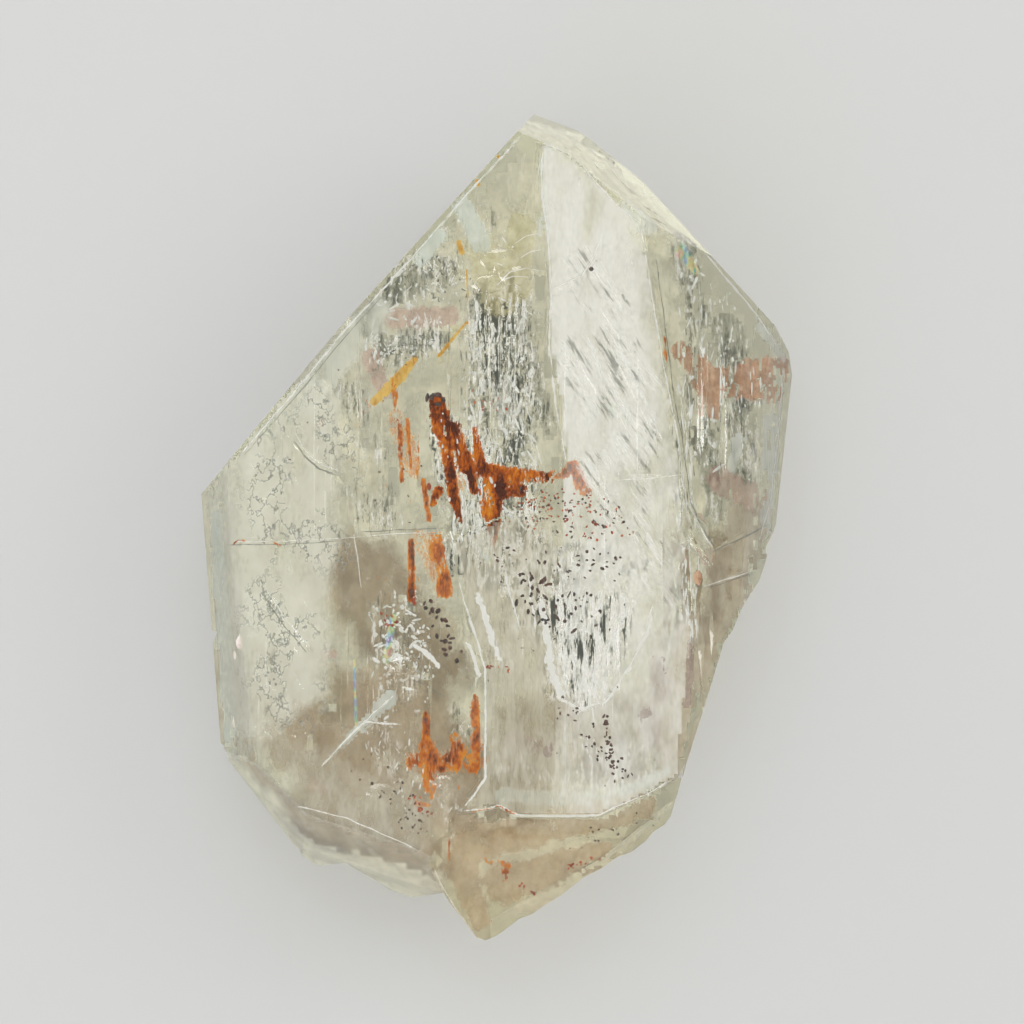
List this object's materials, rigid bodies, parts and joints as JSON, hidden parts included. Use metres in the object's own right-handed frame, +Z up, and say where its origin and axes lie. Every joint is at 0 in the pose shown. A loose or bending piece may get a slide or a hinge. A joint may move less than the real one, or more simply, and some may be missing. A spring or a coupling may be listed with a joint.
{
  "type": "topaz crystal",
  "caption": "Clear, pale grey-green topaz crystal with a roof-shaped end, a raised slab on its front, rust films inside and a broken foot, lying on its flat back.",
  "frame": {"origin": "middle of the footprint's box, on the surface that the crystal lies on", "axes": "+Y along the crystal's length towards its roof-shaped end, +X across it to the right as seen from above, +Z up through its thickness"},
  "size_m": [0.0302, 0.042, 0.0162],
  "materials": {
    "pale_topaz": "natural crystal faces, glassy with fine striations and etch marks, clear stone with white veils and rust films inside"
  },
  "bodies": {
    "root": {"topaz_crystal": "pale_topaz"}
  },
  "joints": []
}
